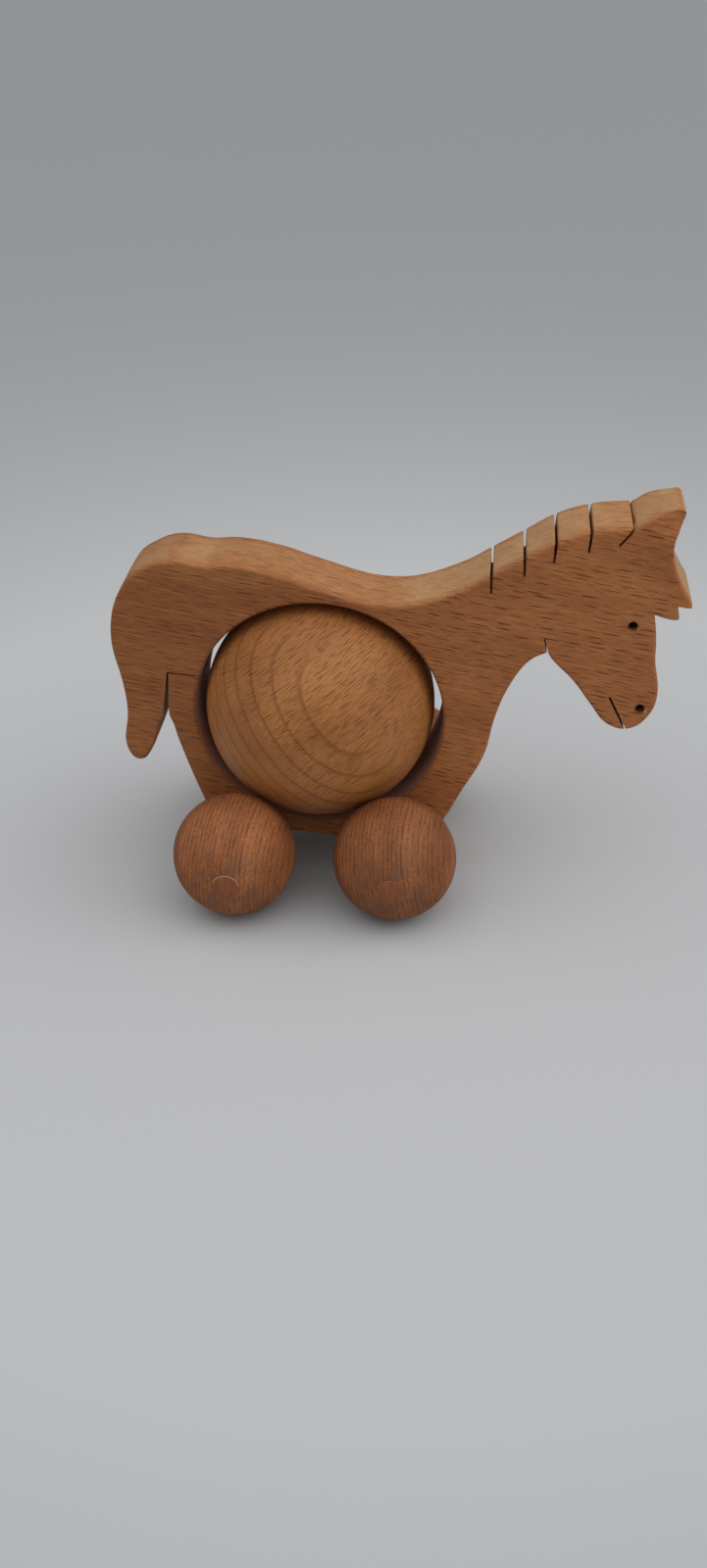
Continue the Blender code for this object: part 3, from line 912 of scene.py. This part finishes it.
def round_dowel(name, centre, half, looks):
    """A dowel along Y, its ends sanded over to the balls that it carries."""
    end_face, end_edge, smooth_below = 0.9, math.radians(60.0), math.radians(40.0)
    end_rings = (0.72, 0.45, 0.2)
    start_clean()
    bpy.ops.mesh.primitive_cylinder_add(
        vertices=DOWEL_SIDES, radius=DOWEL_RADIUS, depth=2.0 * half, location=centre,
        rotation=(QUARTER_TURN, 0.0, 0.0),
    )
    piece = bpy.context.object
    piece.name = name
    bpy.ops.object.transform_apply(location=True, rotation=True, scale=True)
    open_mesh(piece)
    pick_faces(piece, lambda face: abs(face.normal.y) > end_face)
    outer = DOWEL_RADIUS
    for share in end_rings:
        inner = DOWEL_RADIUS * share
        rise = reach_at(WHEEL_RADIUS, inner) - reach_at(WHEEL_RADIUS, outer)
        bpy.ops.mesh.inset(thickness=outer - inner, depth=rise, use_even_offset=True)
        outer = inner
    bpy.ops.mesh.select_all(action="DESELECT")
    bpy.ops.mesh.select_mode(type="EDGE")
    bpy.ops.mesh.edges_select_sharp(sharpness=end_edge)
    bpy.ops.mesh.bevel(offset=looks.end_bevel, segments=ROUND_EDGE_STEPS)
    bpy.ops.object.mode_set(mode="OBJECT")
    bpy.ops.object.shade_smooth_by_angle(angle=smooth_below)
    return piece


class HORSE_OT_dowels(Operator):
    """Cut the two dowels and round their ends over to the balls they carry"""

    bl_idname = "horse.dowels"
    bl_label = "Dowels"

    def execute(self, context):
        looks = context.scene.horse_dowel
        for end in (FRONT, REAR):
            node = f"{end}_axle"
            centre = middle(node)
            half = middle(f"{end}_left_wheel").y + reach_at(WHEEL_RADIUS, DOWEL_RADIUS)
            piece = round_dowel(f"sanded_{node}", centre, half, looks)
            glued = getattr(looks, f"{end}_glue")
            material = dowel_wood(looks, f"oiled_beech_{node}", centre, glued)
            hand_over(piece, material, f"{end}_wheel_set", node)
        return {"FINISHED"}


class HORSE_OT_stage(Operator):
    """Lay the floor, hang the light and set up the camera"""

    bl_idname = "horse.stage"
    bl_label = "Stage"

    # The floor, how near the camera sees, and the camera's sensor, which is in millimetres
    floor_radius = 6.0
    nearest = 0.01
    sensor_width = 36.0

    # Where each soft light comes from, and how narrow its glow on the sky is
    lamps = {"key": (0.8, 0.0, 0.6), "front": (0.0, -0.5, 0.87), "fill": (-0.5, 0.0, 0.87)}
    glow_power = 4.0

    def execute(self, context):
        looks = context.scene.horse_stage
        self.floor(looks)
        self.light(context.scene, looks)
        self.camera(context.scene, looks)
        context.scene.view_settings.view_transform = "Standard"
        return {"FINISHED"}

    def floor(self, looks):
        """A pale floor that is darker away from the toy."""
        start_clean()
        bpy.ops.mesh.primitive_circle_add(
            vertices=FLOOR_SIDES, radius=self.floor_radius, fill_type="NGON"
        )
        floor = bpy.context.object
        floor.name = "paper_floor"
        material = bpy.data.materials.new("pale_paper")
        material.use_nodes = True
        shade = Shade(material.node_tree)
        place = shade.node("TexCoord", out="Object")
        x, y, _ = shade.parts(place)
        out = (x * x + y * y) ** 0.5
        beyond = shade.math("MAXIMUM", out - looks.pool, 0.0)
        far = 1.0 - shade.math("EXPONENT", beyond / -looks.pool)
        mottle = shade.node("TexNoise", sockets={"Vector": place, "Scale": 900.0, "Detail": 2.0})
        colour = shade.scaled(shade.mix(far, looks.paper, looks.paper_far), 0.985 + mottle * 0.03)
        surface = shade.node(
            "BsdfPrincipled",
            sockets={"Base Color": colour, "Roughness": 0.9, "Specular IOR Level": 0.1},
        )
        shade.node("OutputMaterial", sockets={"Surface": surface})
        floor.data.materials.append(material)

    def light(self, scene, looks):
        """Three soft lights on a dome that the camera sees as a plain background."""
        scene.world = bpy.data.worlds.new("soft_studio")
        scene.world.use_nodes = True
        shade = Shade(scene.world.node_tree)
        toward = shade.node("TexCoord", out="Generated")
        strength = 0.0
        for name, lamp in self.lamps.items():
            near = shade.math("MAXIMUM", shade.measure("DOT_PRODUCT", toward, lamp), 0.0)
            strength = near ** self.glow_power * getattr(looks, name) + strength
        dome = shade.node("Background", sockets={"Color": (1.0, 1.0, 1.0, 1.0), "Strength": strength})
        seen = shade.node("Background", sockets={"Color": (*looks.sky, 1.0), "Strength": 1.0})
        path = shade.node("LightPath", out="Is Camera Ray")
        shown = path + path.at("Is Glossy Ray") + path.at("Is Transmission Ray")
        surface = shade.node("MixShader", sockets={0: shown, 1: dome, 2: seen})
        shade.node("OutputWorld", sockets={"Surface": surface})

    def camera(self, scene, looks):
        """The camera, from its place and its three turns."""
        start_clean()
        bpy.ops.object.camera_add()
        camera = bpy.context.object
        camera.name = "camera"
        tilt, roll, turn = looks.camera_turn
        camera.matrix_world = (
            Matrix.Translation(looks.camera)
            @ Matrix.Rotation(turn, 4, "Z")
            @ Matrix.Rotation(QUARTER_TURN - tilt, 4, "X")
            @ Matrix.Rotation(-roll, 4, "Z")
        )
        camera.data.sensor_width = self.sensor_width
        camera.data.lens = looks.lens
        camera.data.clip_start = self.nearest
        scene.camera = camera


class HORSE_PT_sidebar(Panel):
    """The horse's pieces and their looks"""

    bl_idname = "HORSE_PT_sidebar"
    bl_label = "Push-along Horse"
    bl_space_type = "VIEW_3D"
    bl_region_type = "UI"
    bl_category = "Horse"

    def draw(self, context):
        for operator, settings in STEPS:
            box = self.layout.box()
            box.operator(operator.bl_idname)
            looks = getattr(context.scene, settings)
            for name in looks.bl_rna.properties.keys():
                if name not in {"rna_type", "name"}:
                    box.prop(looks, name)


SETTINGS = {
    "horse_stage": StageLooks,
    "horse_board": BoardLooks,
    "horse_ball": BallLooks,
    "horse_wheel": WheelLooks,
    "horse_dowel": DowelLooks,
}
STEPS = (
    (HORSE_OT_stage, "horse_stage"),
    (HORSE_OT_board, "horse_board"),
    (HORSE_OT_ball, "horse_ball"),
    (HORSE_OT_wheels, "horse_wheel"),
    (HORSE_OT_dowels, "horse_dowel"),
)
CLASSES = (*SETTINGS.values(), *(operator for operator, _ in STEPS), HORSE_PT_sidebar)


def register():
    for cls in CLASSES:
        bpy.utils.register_class(cls)
    for name, group in SETTINGS.items():
        setattr(bpy.types.Scene, name, bpy.props.PointerProperty(type=group))


def unregister():
    for name in SETTINGS:
        delattr(bpy.types.Scene, name)
    for cls in reversed(CLASSES):
        bpy.utils.unregister_class(cls)


def main():
    register()
    bpy.ops.horse.stage()
    bpy.ops.horse.board()
    bpy.ops.horse.ball()
    bpy.ops.horse.wheels()
    bpy.ops.horse.dowels()


if __name__ == "__main__":
    main()
